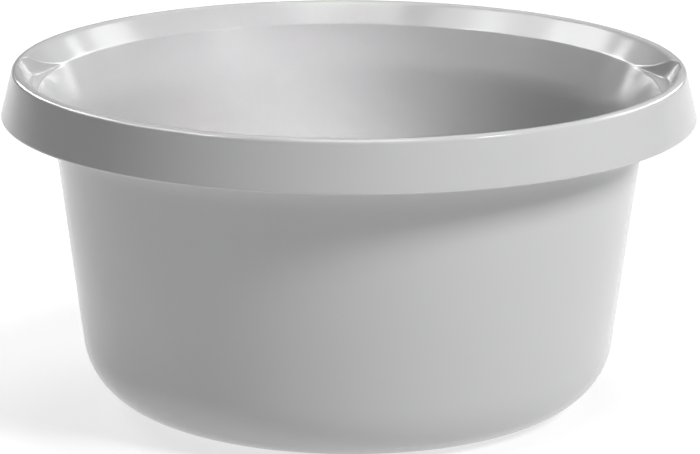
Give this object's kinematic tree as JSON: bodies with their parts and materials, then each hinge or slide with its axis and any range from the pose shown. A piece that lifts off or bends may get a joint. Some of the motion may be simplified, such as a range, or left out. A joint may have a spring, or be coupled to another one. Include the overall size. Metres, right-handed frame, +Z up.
{
  "type": "mortar mixing tub",
  "caption": "Round open tub with tapering wall, rounded heel, funnel-shaped rim, turned-down skirt and a finger scoop at each side of the rim.",
  "frame": {"origin": "centre of the standing ring, on the ground", "axes": "+Z up along the tub's axis, +X through the middle of one finger scoop"},
  "size_m": [0.38, 0.38, 0.187],
  "materials": {
    "moulding": "glossy moulded polypropylene, light grey"
  },
  "bodies": {
    "root": {"base_panel": "moulding", "foot_ring": "moulding", "lower_heel": "moulding", "upper_heel": "moulding", "side_wall": "moulding", "rim_deck_back": "moulding", "rim_deck_front": "moulding", "rim_skirt": "moulding", "left_scoop": "moulding", "right_scoop": "moulding"}
  },
  "joints": []
}
